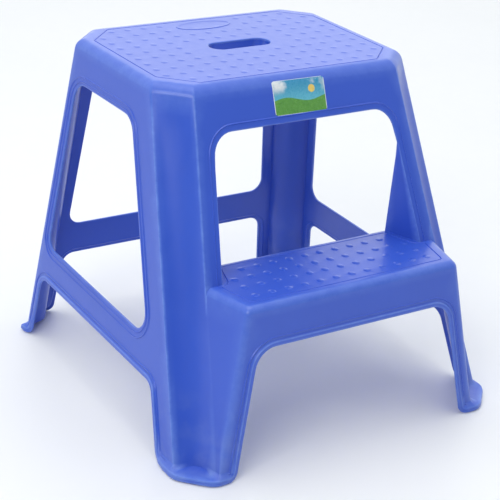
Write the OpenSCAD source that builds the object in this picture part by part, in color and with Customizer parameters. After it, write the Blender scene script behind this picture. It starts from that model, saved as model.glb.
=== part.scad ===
// Two-step mounting block: a hollow, straight-pull plastic moulding with a
// studded standing deck, a lower tread in front and open arches all round,
// and a printed product label on the front apron.
// Origin: centre of the footprint, on the ground. +Z up, the tread faces -Y.
// The moulding is divided into its natural sections, which meet face to face.

/* [Deck] */
// Height of the standing deck above the ground
deck_h = 400; // [380:5:430]
// Half width of the deck across X
deck_half_w = 172; // [165:0.5:185]
// Distance from the deck centre to its front edge
deck_front = 125.4; // [115:0.5:130]
// Distance from the deck centre to its back edge
deck_back = 124.5; // [115:0.5:130]
// Length of the cut across each deck corner, along X and along Y
corner_cut = 35; // [28:1:40]
// Length of the hand slot
slot_len = 82; // [70:1:95]
// Width of the hand slot
slot_w = 28; // [22:1:34]

/* [Walls] */
// Thickness of the moulded walls
wall = 3; // [2.5:0.1:4]
// How far the side walls lean out, per mm of drop
side_lean = 0.11; // [0.08:0.01:0.12]
// How far the front wall leans out, per mm of drop
front_lean = 0.405; // [0.39:0.005:0.43]
// How far the back wall leans out, per mm of drop
back_lean = 0.12; // [0.11:0.01:0.15]

/* [Openings] */
// Height of the top edge of the four large openings
window_top = 350; // [340:1:358]
// Height of the top edge of the rails
rail_top = 130; // [124:1:136]
// Height of the lower edge of the rails
rail_bottom = 85; // [78:1:90]
// Width of the wall strip in front of the side openings
front_strip = 40; // [38:1:48]
// Width of the wall strip behind the side openings
back_strip = 18; // [15:1:22]
// Half width of the front opening, measured at deck height
front_window_half = 114.5; // [108:0.5:116]
// Half width of the back openings, measured at deck height
back_window_half = 118; // [110:1:120]

/* [Step] */
// Height of the tread above the ground
tread_h = 198; // [190:1:206]
// Half width of the tread along its front edge
tread_half_w = 143; // [140:1:150]
// Distance from the deck centre to the tread's front edge
tread_front = 270.4; // [262:0.2:272]
// Distance from the deck centre to the tread's back edge
tread_back = 160.5; // [156:0.5:166]
// Half width of the tread's back edge
tread_back_half = 120; // [116:1:124]
// Height of the top of the arch below the tread
step_arch_top = 148; // [140:1:152]
// Half width of that arch on the ground
step_arch_half = 158; // [150:1:160]

/* [Feet] */
// Height of the rolled rim that the feet stand on
foot_h = 8; // [6:1:10]
// Half width of the footprint
foot_half_w = 223; // [221:1:228]
// Half length of the footprint
foot_half_l = 238; // [237:1:242]

/* [Ribs] */
// Thickness of the ribs under the deck and the tread
rib_t = 2; // [1.5:0.1:3]
// Depth of the ribs
rib_depth = 10; // [8:1:14]

/* [Label] */
// Width of the product label
label_w = 70; // [60:1:80]
// Height of the product label
label_h = 39; // [30:1:42]

/* [Hidden] */

deck_y = 58;              // the deck centre lies this far behind the origin
corner_r_top = 25;        // top corners of the large openings
corner_r_front = 20;      // bottom front corners of the side openings
corner_r_back = 16;       // bottom back corners of the side and back openings
arch_r = 16;              // corners of the low arches below the rails
front_window_r = 26;
step_arch_r = 26;
window_lean = 0.42;       // lean of the front edge of the side openings
front_window_lean = 0.11; // each side edge of the front opening, per mm of drop
back_window_lean = 0.115;
low_arch_shift = 3.5;     // the low side arch starts this much further forward
rail_fall = 7;            // the side rails' front ends lie this much lower than their back ends
back_arch_shift = 3;      // the low back arch is this much narrower
step_front_lean = 0.095;
step_arch_lean = 0.19;
ease = 0.05;              // openings are this much wider than the bays they are cut from
rail_mid = (rail_top + rail_bottom) / 2;
window_mid = (window_top + rail_top) / 2;
deck_bottom = deck_h - wall;
tread_bottom = tread_h - wall;
deck_bevel = 3;
cheek_half = 136;         // cheek's front end on the tread
mitre = wall * sqrt(2);   // wall thickness along Y where the corner wall ends
far = 400;                // longer than any wall is away from the origin
leg_split_y = 44;         // a plane through the side openings, between the front and back legs
deck_rib_pitch = 40;
deck_rib_pairs = 3;       // pairs of ribs each way, beside the hand slot
slot_rib_gap_x = 6;       // from the slot's collar to the nearest ribs
slot_rib_gap_y = 3;
step_rib_pitch = 42.5;
step_ribs_a_side = 2;     // beside the one in the middle
foot_corner_x = 38;       // how much the front feet's outline is cut at its corner
foot_corner_y = 32;
back_foot_corner = 40;
front_foot_reach = 7;     // the front feet reach this far into the step's arch
front_foot_radii = [0, 8, 24, 28, 10, 0];
back_foot_radii = [0, 8, 14, 14, 6, 0];
wall_in = 1;              // the walls stand about this much further in at the top of the feet
label_mid = 376;          // height of the label's middle
label_shift = 2.5;        // the label sits this far left of the middle
label_t = 0.4;
body_blue = [0.30, 0.40, 0.86];
deep_blue = [0.20, 0.26, 0.74];

// Outer faces of the body at height z
function side_x(z) = deck_half_w + side_lean * (deck_h - z);
function front_y(z) = deck_y - deck_front - front_lean * (deck_h - z);
function back_y(z) = deck_y + deck_back + back_lean * (deck_h - z);
function ridge_x(z) = side_x(z) - corner_cut;

// Edges of the openings at height z
function window_front_y(z) = deck_y - front_strip - window_lean * (deck_h - z);
function window_back_y(z) = back_y(z) - corner_cut - back_strip;
function front_window_x(z) = front_window_half + front_window_lean * (deck_h - z);
function back_window_x(z) = back_window_half + back_window_lean * (deck_h - z);

// Faces of the step at height z
function step_y(z) = deck_y - tread_front - step_front_lean * (tread_h - z);
function step_corner_x(z) = tread_half_w + step_corner_lean * (tread_h - z);
function step_arch_x(z) = step_arch_half - step_arch_lean * z;

// Lean of the step's front corner that keeps the wall from it to the body's ridge flat
step_corner_lean = side_lean + (ridge_x(tread_h) - tread_half_w)
    * (front_lean - step_front_lean) / (front_y(tread_h) - step_y(tread_h));

// Eight-sided outline of the body at height z, pulled in by t
function body_outline(z, t) =
    let (x = side_x(z) - t, f = front_y(z) + t, b = back_y(z) - t,
         c = corner_cut - (2 - sqrt(2)) * t)
    [[-x, f + c], [-x + c, f], [x - c, f], [x, f + c],
     [x, b - c], [x - c, b], [-x + c, b], [-x, b - c]];

function unit(v) = v / norm(v);

// Arc of radius r that rounds the corner q between p and s
function corner_arc(p, q, s, r) =
    let (u = unit(p - q), v = unit(s - q), a = acos(u * v),
         start = q + u * r / tan(a / 2),
         centre = q + unit(u + v) * r / sin(a / 2),
         turn = cross(q - p, s - q) > 0 ? 1 : -1,
         a0 = atan2(start[1] - centre[1], start[0] - centre[0]),
         steps = 8)
    [for (i = [0:steps])
        let (t = a0 + turn * (180 - a) * i / steps)
        centre + r * [cos(t), sin(t)]];

// Outline with the corners rounded; a radius of 0 keeps the corner sharp
function rounded(pts, radii) =
    let (n = len(pts))
    [for (i = [0:n - 1]) each radii[i] == 0 ? [pts[i]] :
        corner_arc(pts[(i + n - 1) % n], pts[i], pts[(i + 1) % n], radii[i])];

function mirrored(pts) = [for (i = [len(pts) - 1:-1:0]) [-pts[i][0], pts[i][1]]];

// Solid between two outlines with the same number of points
module loft(lower, upper, z0, z1) {
    n = len(lower);
    polyhedron(
        points = [for (p = lower) [p[0], p[1], z0], for (p = upper) [p[0], p[1], z1]],
        faces = [[for (i = [0:n - 1]) i],
                 [for (i = [n - 1:-1:0]) n + i],
                 for (i = [0:n - 1]) let (j = (i + 1) % n) [i, n + i, n + j, j]]);
}

// Outline in the YZ plane run along X from x0 to x1
module along_x(pts, x0, x1) {
    translate([x0, 0, 0]) rotate([90, 0, 90]) linear_extrude(x1 - x0) polygon(pts);
}

// Outline in the XZ plane run along Y from y0 to y1
module along_y(pts, y0, y1) {
    translate([0, y1, 0]) rotate([90, 0, 0]) linear_extrude(y1 - y0) polygon(pts);
}

// Leaning walls of the body, from the feet up to the deck
module body_walls() {
    difference() {
        loft(body_outline(foot_h, 0), body_outline(deck_bottom, 0), foot_h, deck_bottom);
        loft(body_outline(0, wall), body_outline(deck_h, wall), 0, deck_h);
    }
}

// Part of the side walls between the edges of the openings, run across the body
module side_bay(z0, z1) {
    shift = low_arch_shift;
    pts = z0 > rail_mid
        ? [[window_front_y(z0), z0], [window_back_y(z0), z0],
           [window_back_y(z1), z1], [window_front_y(z1), z1]]
        : [[window_front_y(z0) - shift, z0], [window_back_y(z0), z0],
           [window_back_y(z1), z1], [window_front_y(z1), z1],
           [window_front_y(rail_mid), rail_mid],
           [window_front_y(rail_mid) - shift, rail_mid]];
    along_x(pts, -far, far);
}

// Part of the back wall between the edges of the openings
module back_bay(z0, z1) {
    shift = back_arch_shift;
    right = z0 > rail_mid
        ? [[back_window_x(z0), z0], [back_window_x(z1), z1]]
        : [[back_window_x(z0) - shift, z0],
           [back_window_x(rail_mid) - shift, rail_mid],
           [back_window_x(rail_mid), rail_mid],
           [back_window_x(z1), z1]];
    along_y(concat(right, mirrored(right)), deck_y, far);
}

// Part of the front wall between the edges of the front opening
module front_bay(z0, z1) {
    right = [[front_window_x(z0), z0], [front_window_x(z1), z1]];
    along_y(concat(right, mirrored(right)), -far, deck_y);
}

// The large opening in each side wall
module side_window() {
    front_end = rail_top - rail_fall;
    along_x(rounded([[window_front_y(front_end) - ease, front_end],
                     [window_back_y(rail_top) + ease, rail_top],
                     [window_back_y(window_top) + ease, window_top],
                     [window_front_y(window_top) - ease, window_top]],
                    [corner_r_front, corner_r_back, corner_r_top, corner_r_top]),
            -far, far);
}

// The low arch in each side wall
module side_arch() {
    shift = low_arch_shift + ease;
    front_end = rail_bottom - rail_fall;
    along_x(rounded([[window_front_y(0) - shift, 0],
                     [window_back_y(0) + ease, 0],
                     [window_back_y(rail_bottom) + ease, rail_bottom],
                     [window_front_y(front_end) - shift, front_end]],
                    [0, 0, arch_r, arch_r]),
            -far, far);
}

module back_window() {
    right = [[back_window_x(rail_top) + ease, rail_top],
             [back_window_x(window_top) + ease, window_top]];
    along_y(rounded(concat(right, mirrored(right)),
                    [corner_r_back, corner_r_top, corner_r_top, corner_r_back]),
            deck_y, far);
}

module back_arch() {
    shift = back_arch_shift - ease;
    right = [[back_window_x(0) - shift, 0],
             [back_window_x(rail_bottom) - shift, rail_bottom]];
    along_y(rounded(concat(right, mirrored(right)), [0, arch_r, arch_r, 0]), deck_y, far);
}

module front_window() {
    right = [[front_window_x(tread_h) + ease, tread_h],
             [front_window_x(window_top) + ease, window_top]];
    along_y(rounded(concat(right, mirrored(right)),
                    [0, front_window_r, front_window_r, 0]),
            -far, deck_y);
}

// Front wall below the tread, which the body doesn't have
module below_tread() {
    right = [[ridge_x(0), 0], [ridge_x(tread_h), tread_h]];
    along_y(concat(right, mirrored(right)), -far, deck_y);
}

// Flat outline of the hand slot, widened by grow
module slot_outline(grow) {
    end = (slot_len - slot_w) / 2;
    translate([-end, deck_y]) circle(d = slot_w + 2 * grow, $fn = 32);
    translate([end, deck_y]) circle(d = slot_w + 2 * grow, $fn = 32);
    translate([-end, deck_y - slot_w / 2 - grow]) square([2 * end, slot_w + 2 * grow]);
}

module top_deck() {
    color(body_blue)
    difference() {
        loft(body_outline(deck_bottom, 0), body_outline(deck_h, deck_bevel),
             deck_bottom, deck_h);
        translate([0, 0, deck_bottom - 1]) linear_extrude(wall + 2) slot_outline(0);
    }
}

// Collar that stiffens the hand slot from below
module hand_slot_rim() {
    color(deep_blue)
    translate([0, 0, deck_bottom - rib_depth])
    linear_extrude(rib_depth)
    difference() {
        slot_outline(wall);
        slot_outline(0);
    }
}

// Grid of ribs under the deck, clear of the hand slot
module deck_ribs() {
    first_x = slot_len / 2 + wall + slot_rib_gap_x;
    first_y = slot_w / 2 + wall + slot_rib_gap_y;
    low = deck_bottom - rib_depth;
    color(deep_blue)
    intersection() {
        loft(body_outline(low, wall), body_outline(deck_bottom, wall), low, deck_bottom);
        union() {
            for (side = [-1, 1], i = [0:deck_rib_pairs - 1]) {
                translate([side * (first_x + deck_rib_pitch * i) - rib_t / 2, deck_y - far / 2, low])
                cube([rib_t, far, rib_depth]);
                translate([-far / 2, deck_y + side * (first_y + deck_rib_pitch * i) - rib_t / 2,
                           low])
                cube([far, rib_t, rib_depth]);
            }
        }
    }
}

module front_apron() {
    color(body_blue)
    difference() {
        intersection() {
            body_walls();
            front_bay(window_mid, deck_bottom);
        }
        front_window();
    }
}

module back_apron() {
    color(body_blue)
    difference() {
        intersection() {
            body_walls();
            back_bay(window_mid, deck_bottom);
        }
        back_window();
    }
}

// Strip of one side wall above its opening; side is -1 for left, 1 for right
module side_apron(side) {
    color(body_blue)
    difference() {
        intersection() {
            body_walls();
            side_bay(window_mid, deck_bottom);
            half_space(side);
        }
        side_window();
    }
}

// Everything on one side of the middle
module half_space(side) {
    translate([side > 0 ? 0 : -far, -far, 0]) cube([far, 2 * far, deck_h + 1]);
}

// Strip of one side wall between its opening and its low arch
module side_rail(side) {
    color(body_blue)
    difference() {
        intersection() {
            body_walls();
            side_bay(0, window_mid);
            half_space(side);
        }
        side_window();
        side_arch();
    }
}

module back_rail() {
    color(body_blue)
    difference() {
        intersection() {
            body_walls();
            back_bay(0, window_mid);
        }
        back_window();
        back_arch();
    }
}

// Corner of the body with the wall strips beside it
module front_leg(side) {
    color(body_blue)
    difference() {
        intersection() {
            body_walls();
            half_space(side);
            translate([-far, -far, 0]) cube([2 * far, far + leg_split_y, deck_h]);
        }
        side_bay(0, deck_h);
        front_bay(tread_h, deck_h);
        below_tread();
    }
}

module back_leg(side) {
    color(body_blue)
    difference() {
        intersection() {
            body_walls();
            half_space(side);
            translate([-far, leg_split_y, 0]) cube([2 * far, far, deck_h]);
        }
        side_bay(0, deck_h);
        back_bay(0, deck_h);
    }
}

module step_tread() {
    right = [[tread_half_w, step_y(tread_h)],
             [ridge_x(tread_h), front_y(tread_h)],
             [ridge_x(tread_h), front_y(tread_h) + mitre],
             [cheek_half + wall, front_y(tread_h) + mitre],
             [tread_back_half + wall, deck_y - tread_back]];
    outline = concat(right, mirrored(right));
    color(body_blue)
    translate([0, 0, tread_bottom]) linear_extrude(wall) polygon(outline);
}

// Plan of the step's front wall at height z, wider than the step
function step_front_slab(z) =
    [[-far, step_y(z)], [far, step_y(z)], [far, step_y(z) + wall], [-far, step_y(z) + wall]];

module step_apron() {
    low = step_arch_top - 2 * step_arch_r;
    right = [[step_arch_x(low), low], [step_arch_x(tread_bottom), tread_bottom]];
    arch = [[step_arch_x(0) + ease, 0], [step_arch_x(step_arch_top) + ease, step_arch_top]];
    color(body_blue)
    difference() {
        intersection() {
            along_y(concat(right, mirrored(right)), -far, 0);
            loft(step_front_slab(low), step_front_slab(tread_bottom), low, tread_bottom);
        }
        along_y(rounded(concat(arch, mirrored(arch)), [0, step_arch_r, step_arch_r, 0]),
                -far, 0);
    }
}

// Plan of the step's right side wall at height z, from the front corner to the body's ridge
function step_side_plan(z) =
    let (corner = [step_corner_x(z), step_y(z)], ridge = [ridge_x(z), front_y(z)],
         inward = [-wall, wall])
    [corner, ridge, ridge + inward, corner + inward];

// The step's side wall with the strip of front wall beside the arch
module step_wall(side) {
    strip = [[step_arch_x(foot_h), foot_h], [step_corner_x(foot_h), foot_h],
             [step_corner_x(tread_bottom), tread_bottom],
             [step_arch_x(tread_bottom), tread_bottom]];
    color(body_blue)
    mirror([side > 0 ? 0 : 1, 0, 0])
    union() {
        loft(step_side_plan(foot_h), step_side_plan(tread_bottom), foot_h, tread_bottom);
        intersection() {
            along_y(strip, -far, 0);
            loft(step_front_slab(foot_h), step_front_slab(tread_bottom),
                 foot_h, tread_bottom);
        }
    }
}

// Upright wall beside the tread, from the front opening back to the tread's back edge
module cheek(side) {
    front_end = front_y(tread_h);
    back_end = deck_y - tread_back;
    reach = 60;               // runs past the front wall, which then trims it
    grow = (cheek_half - tread_back_half) / (back_end - front_end);
    right = [[tread_back_half + grow * (back_end - front_end + reach), front_end - reach],
             [tread_back_half + wall + grow * (back_end - front_end + reach), front_end - reach],
             [tread_back_half + wall, back_end],
             [tread_back_half, back_end]];
    color(deep_blue)
    intersection() {
        loft(body_outline(tread_h, wall), body_outline(deck_bottom, wall),
             tread_h, deck_bottom);
        translate([0, 0, tread_h])
        linear_extrude(deck_bottom - tread_h)
        polygon(side > 0 ? right : mirrored(right));
    }
}

// Ribs under the tread, and the flange along its back edge
module step_ribs() {
    low = tread_bottom - rib_depth;
    back_end = deck_y - tread_back;
    front_end = step_y(tread_bottom) + wall;
    color(deep_blue)
    union() {
        for (i = [-step_ribs_a_side:step_ribs_a_side])
            translate([step_rib_pitch * i - rib_t / 2, front_end, low])
            cube([rib_t, back_end - front_end, rib_depth]);
        translate([-tread_back_half, back_end - wall, low])
        cube([2 * tread_back_half, wall, rib_depth]);
    }
}

// Rolled rim that the front leg and the step stand on
module front_foot(side) {
    arch_y = window_front_y(0) - low_arch_shift;
    right = rounded([[step_arch_x(0) - front_foot_reach, step_y(0) + 2 * wall],
                     [step_arch_x(0) + foot_h, -foot_half_l],
                     [foot_half_w - foot_corner_x, -foot_half_l],
                     [foot_half_w, -foot_half_l + foot_corner_y],
                     [foot_half_w, arch_y - foot_h],
                     [side_x(0) - wall_in, arch_y]],
                    front_foot_radii);
    inside = [[side_x(0) - wall - wall_in, arch_y],
              [side_x(0) - wall - wall_in, front_y(0) + corner_cut + wall],
              [ridge_x(0) - wall_in, front_y(0) + wall + 2 * wall_in],
              [step_arch_x(0), step_y(0) + 2 * wall]];
    outline = concat(right, inside);
    color(body_blue)
    linear_extrude(foot_h) polygon(side > 0 ? outline : mirrored(outline));
}

module back_foot(side) {
    arch_y = window_back_y(0);
    arch_x = back_window_x(0) - back_arch_shift;
    right = rounded([[side_x(0) - wall_in, arch_y],
                     [foot_half_w, arch_y + foot_h],
                     [foot_half_w, foot_half_l - back_foot_corner],
                     [foot_half_w - back_foot_corner, foot_half_l],
                     [arch_x + foot_h, foot_half_l],
                     [arch_x - wall_in, back_y(0) - wall_in]],
                    back_foot_radii);
    inside = [[arch_x - wall_in, back_y(0) - wall - wall_in],
              [ridge_x(0) - wall_in, back_y(0) - wall - wall_in],
              [side_x(0) - wall - wall_in, back_y(0) - corner_cut - wall],
              [side_x(0) - wall - wall_in, arch_y]];
    outline = concat(right, inside);
    color(body_blue)
    linear_extrude(foot_h) polygon(side > 0 ? outline : mirrored(outline));
}

// Printed label on the front apron
module product_label() {
    color("lightskyblue")
    translate([-label_shift, front_y(label_mid), label_mid])
    rotate([90 - atan(front_lean), 0, 0])
    linear_extrude(label_t)
    square([label_w, label_h], center = true);
}

top_deck();
hand_slot_rim();
deck_ribs();
front_apron();
back_apron();
side_apron(-1);  // left_apron
side_apron(1);  // right_apron
front_leg(-1);  // front_left_leg
front_leg(1);  // front_right_leg
back_leg(-1);  // back_left_leg
back_leg(1);  // back_right_leg
side_rail(-1);  // left_rail
side_rail(1);  // right_rail
back_rail();
step_tread();
step_apron();
step_wall(-1);  // step_left_wall
step_wall(1);  // step_right_wall
cheek(-1);  // left_cheek
cheek(1);  // right_cheek
step_ribs();
front_foot(-1);  // front_left_foot
front_foot(1);  // front_right_foot
back_foot(-1);  // back_left_foot
back_foot(1);  // back_right_foot
product_label();
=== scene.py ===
"""Looks of the two-step mounting block: one continuous moulded skin, its ribs and a printed label.

Lengths in the shape functions are millimetres in the part's own frame; the meshes are written in metres.
"""

import math

import bmesh
import bpy
import numpy as np
from mathutils import Matrix, Vector
from mathutils.geometry import delaunay_2d_cdt


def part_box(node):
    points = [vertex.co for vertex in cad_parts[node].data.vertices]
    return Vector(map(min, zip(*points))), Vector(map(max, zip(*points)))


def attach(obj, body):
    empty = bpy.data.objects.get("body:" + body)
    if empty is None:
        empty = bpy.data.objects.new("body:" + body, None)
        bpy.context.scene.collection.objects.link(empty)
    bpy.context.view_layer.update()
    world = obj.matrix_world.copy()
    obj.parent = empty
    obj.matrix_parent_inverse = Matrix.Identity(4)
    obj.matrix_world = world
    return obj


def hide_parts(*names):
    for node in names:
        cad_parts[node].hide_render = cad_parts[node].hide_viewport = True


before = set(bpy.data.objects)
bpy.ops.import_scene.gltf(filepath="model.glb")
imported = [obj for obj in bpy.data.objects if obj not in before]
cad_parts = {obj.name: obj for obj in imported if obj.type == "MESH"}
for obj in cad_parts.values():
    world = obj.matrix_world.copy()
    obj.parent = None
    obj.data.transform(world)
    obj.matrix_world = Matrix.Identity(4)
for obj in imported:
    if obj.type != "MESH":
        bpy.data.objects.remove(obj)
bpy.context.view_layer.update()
MM = 0.001
LOW, HIGH = 0, 1
X, Y, Z = 0, 1, 2


def cad(node, end, axis):
    """The lowest or the highest place that a CAD node reaches along an axis, in millimetres."""
    return round(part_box(node)[end][axis] / MM, 1)


# -------- sizes read from the CAD nodes
DECK_H = cad("top_deck", HIGH, Z)
WALL = DECK_H - cad("top_deck", LOW, Z)
DECK_Y = (cad("hand_slot_rim", LOW, Y) + cad("hand_slot_rim", HIGH, Y)) / 2
SLOT_LEN = 2 * (cad("hand_slot_rim", HIGH, X) - WALL)
SLOT_W = 2 * (cad("hand_slot_rim", HIGH, Y) - WALL - DECK_Y)
RIB_BOTTOM = cad("deck_ribs", LOW, Z)
TREAD_H = cad("step_tread", HIGH, Z)
TREAD_BACK_HALF = cad("step_ribs", HIGH, X)
STEP_RIB_BOTTOM = cad("step_ribs", LOW, Z)
LABEL_W = cad("product_label", HIGH, X) - cad("product_label", LOW, X)
LABEL_X = cad("product_label", LOW, X) + LABEL_W / 2

# -------- sizes as in the CAD source
DECK_HALF_W = 172.0
DECK_FRONT = 125.4
DECK_BACK = 124.5
CORNER_CUT = 35.0
SIDE_LEAN = 0.11
FRONT_LEAN = 0.405
BACK_LEAN = 0.12
WINDOW_TOP = 350.0
RAIL_TOP = 130.0
RAIL_BOTTOM = 85.0
RAIL_FALL = 7.0
FRONT_STRIP = 40.0
WINDOW_LEAN = 0.42
LOW_ARCH_SHIFT = 3.5
BACK_STRIP = 18.0
BACK_WINDOW_HALF = 118.0
BACK_WINDOW_LEAN = 0.115
BACK_ARCH_SHIFT = 3.0
FRONT_WINDOW_HALF = 114.5
FRONT_WINDOW_LEAN = 0.11
TREAD_HALF_W = 143.0
TREAD_FRONT = 270.4
STEP_FRONT_LEAN = 0.095
STEP_ARCH_TOP = 148.0
STEP_ARCH_HALF = 158.0
STEP_ARCH_LEAN = 0.19
TOP_CORNER_R = 25
FRONT_CORNER_R = 20
BACK_CORNER_R = 16
FRONT_WINDOW_R = 26
RIB_PITCH = 40
RIBS_A_SIDE = 3
SLOT_RIB_GAP_X = 6
SLOT_RIB_GAP_Y = 3
STEP_RIB_PITCH = 42.5
STEP_RIBS_A_SIDE = 2

# -------- finer shape, only seen in this model
DECK_EDGE_R = 11.2
STUD_H = 0.95
DECK_STUD_H = 0.6
STUD_R = 4.9
DECK_TOP = DECK_H - DECK_STUD_H
WALL_TOP = DECK_TOP - DECK_EDGE_R
STEP_EDGE_R = 8.0
STEP_WALL_TOP = TREAD_H - STEP_EDGE_R
STEP_CORNER_R = 7.0
RIDGE_SOFT = 2.0
RIDGE_CUT = 0.45
LEDGE_Z = 7.4
LEDGE_RISE = 1.6
LEDGE_HALF = 0.42
LEDGE_FADE = 0.24
FOOT_FLARE = 6.5
FLARE_Y = 0.8
FLARE_REACH = 24.0
FLARE_FADE = 12.0
FRONT_FOOT_CUT = (33, 34)
FRONT_FOOT_R = 22
BACK_FOOT_CUT = (43, 44)
BACK_FOOT_R = 4
FOOT_END_R = 12
FRONT_FOOT_END_R = 16
ARCH_R = 16
ARCH_FLARE = 1.9
EDGE_ROUND = 1.1
BEAD_H = 1.1
FLUTE_LOW_DEPTH = 11.5
FLUTE_HIGH_DEPTH = 3.2
FLUTE_NARROW = 110.0
FLUTE_STOPS = (0.055, 0.15, 0.28, 0.43, 0.57, 0.72, 0.85, 0.945)
FADE = 30.0
EDGE_STEPS = 6
GRID = 13.0
SIDE_SPLIT = 9
FRONT_SPLIT = 14
WINDOW_SIDE_SPLIT = 7

# Distance from a free edge to each loop of the rolled rim, and the share of the flare there
RIM_LOOPS = (1.1, 1.9, 3.0, 4.5, 6.0, 7.0, 8.0, 9.0, 10.0, 11.0, 12.0, 13.0)
RIM_AT_FOOT = (0.90, 0.97, 1.0, 1.0, 1.0, 0.96, 0.78, 0.54, 0.33, 0.16, 0.05, 0.0)
RIM_AT_ARCH = (0.80, 0.96, 1.0, 1.0, 0.96, 0.35, -0.12, 0.0, 0.0, 0.0, 0.0, 0.0)
ARCH_BEAD = 11.0

# Distance from a window's edge to each loop round it, and to the beads
WINDOW_LOOPS = (1.1, 2.2, 4.0, 5.0, 6.0, 10.0, 11.0, 12.0, 13.0)
WINDOW_BEADS = (5.0, 11.0)
FRONT_WINDOW_LOOPS = (1.1, 2.2, 4.0, 6.5, 7.5, 8.5, 10.0, 13.0)
FRONT_BEAD = 7.5


def side_x(z):
    return DECK_HALF_W + SIDE_LEAN * (DECK_H - z)


def front_y(z):
    return DECK_Y - DECK_FRONT - FRONT_LEAN * (DECK_H - z)


def back_y(z):
    return DECK_Y + DECK_BACK + BACK_LEAN * (DECK_H - z)


def ridge_x(z):
    return side_x(z) - CORNER_CUT


def step_y(z):
    return DECK_Y - TREAD_FRONT - STEP_FRONT_LEAN * (TREAD_H - z)


STEP_CORNER_LEAN = SIDE_LEAN + (ridge_x(TREAD_H) - TREAD_HALF_W) * (
    FRONT_LEAN - STEP_FRONT_LEAN
) / (front_y(TREAD_H) - step_y(TREAD_H))


def step_corner_x(z):
    return TREAD_HALF_W + STEP_CORNER_LEAN * (TREAD_H - z)


def window_front_h(z):
    return DECK_Y - FRONT_STRIP - WINDOW_LEAN * (DECK_H - z)


def arch_front_h(z):
    return window_front_h(z) - LOW_ARCH_SHIFT


def window_back_h(z):
    return back_y(z) - CORNER_CUT - BACK_STRIP


def back_window_x(z):
    return BACK_WINDOW_HALF + BACK_WINDOW_LEAN * (DECK_H - z)


def back_arch_x(z):
    return back_window_x(z) - BACK_ARCH_SHIFT


def front_window_x(z):
    return FRONT_WINDOW_HALF + FRONT_WINDOW_LEAN * (DECK_H - z)


def step_arch_x(z):
    return STEP_ARCH_HALF - STEP_ARCH_LEAN * z


# -------- small helpers
def smooth(t):
    t = min(max(t, 0.0), 1.0)
    return t * t * (3 - 2 * t)


def mix(a, b, t):
    return a + (b - a) * t


def vec(*c):
    return np.array(c, float)


def unit(v):
    return v / np.linalg.norm(v)


def between(a, b, count):
    """count points spread evenly between a and b, without either end."""
    return [mix(a, b, (i + 1) / (count + 1)) for i in range(count)]


def mirrored(points):
    """The same points on the other side of the middle, in reverse so that the row runs on."""
    return [vec(-p[0], *p[1:]) for p in reversed(points)]


def levels(low, high, pitch=22.0):
    """Heights from low to high, about a pitch apart."""
    count = max(1, round((high - low) / pitch))
    return [mix(low, high, i / count) for i in range(count + 1)]


def quarter(radius, top):
    """(height, inset) down a rounded edge, from its lower end to the level top."""
    angles = [math.pi / 2 * k / EDGE_STEPS for k in range(EDGE_STEPS + 1)]
    return [(top - radius * (1 - math.sin(a)), radius * (1 - math.cos(a))) for a in angles]


STEP_EDGE = quarter(STEP_EDGE_R, TREAD_H)
DECK_EDGE = quarter(DECK_EDGE_R, DECK_TOP)
LOW_LEVELS = list(RIM_LOOPS[:-1]) + levels(RIM_LOOPS[-1], STEP_WALL_TOP)
HIGH_LEVELS = [z for z, _ in STEP_EDGE] + levels(TREAD_H, WALL_TOP)[1:]
BODY_LEVELS = LOW_LEVELS + HIGH_LEVELS[1:]


# -------- the skin
class Skin:
    """One surface that patches are added to. Patches that share points are joined there.
    Relief is what stands out on the outside only, such as a stud."""

    def __init__(self):
        self.base, self.relief, self.index, self.faces = [], [], {}, []

    def point(self, p, relief=None):
        key = tuple(int(round(c * 50 + 0.31)) for c in p)
        if key not in self.index:
            self.index[key] = len(self.base)
            self.base.append(np.array(p, float))
            self.relief.append(np.zeros(3) if relief is None else np.array(relief, float))
        return self.index[key]

    def face(self, ids):
        clean = [i for k, i in enumerate(ids) if i != ids[k - 1]]
        if len(clean) >= 3 and len(set(clean)) == len(clean):
            self.faces.append(clean)

    def strips(self, rows, closed=False):
        """Faces between neighbouring rows of points."""
        ids = [[p if isinstance(p, int) else self.point(p) for p in row] for row in rows]
        for low, high in zip(ids, ids[1:]):
            n = len(low)
            for i in range(n if closed else n - 1):
                j = (i + 1) % n
                self.face([low[i], low[j], high[j], high[i]])

    def mirror(self):
        """Adds the other half of what there is so far."""
        for ids in list(self.faces):
            others = [self.point(self.base[i] * (-1, 1, 1), self.relief[i] * (-1, 1, 1))
                      for i in reversed(ids)]
            self.face(others)


skin = Skin()


# -------- rounded paths and their offsets
def offset_path(corners, radii, d, ends=None, splits=(), arc=8):
    """A path with rounded corners, moved d to its left. Every offset has the same number of points.
    An open path starts and ends at the two ends given; splits are the points on each straight."""
    n = len(corners)
    arcs = []
    for i in range(1 if ends else 0, n - 1 if ends else n):
        p, q, s = corners[i - 1], corners[i], corners[(i + 1) % n]
        u, v = unit(p - q), unit(s - q)
        half = math.acos(float(np.clip(u @ v, -1, 1))) / 2
        turn = 1 if u[0] * v[1] - u[1] * v[0] < 0 else -1
        radius = max(radii[i] - turn * d, 0.3)
        centre = q + unit(u + v) * (radius + turn * d) / math.sin(half)
        first = math.atan2(*reversed(-turn * vec(u[1], -u[0])))
        sweep = turn * (math.pi - 2 * half)
        arcs.append([centre + radius * vec(math.cos(a), math.sin(a))
                     for a in (first + sweep * k / arc for k in range(arc + 1))])
    out = [ends[0]] if ends else []
    for k, points in enumerate(arcs):
        if out:
            out += between(out[-1], points[0], splits[k])
        out += points
    last = ends[1] if ends else arcs[0][0]
    out += between(out[-1], last, splits[len(arcs)])
    return out + [last] if ends else out


def bead(d, centre):
    return BEAD_H if centre and abs(d - centre) < 0.1 else 0.0


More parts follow.
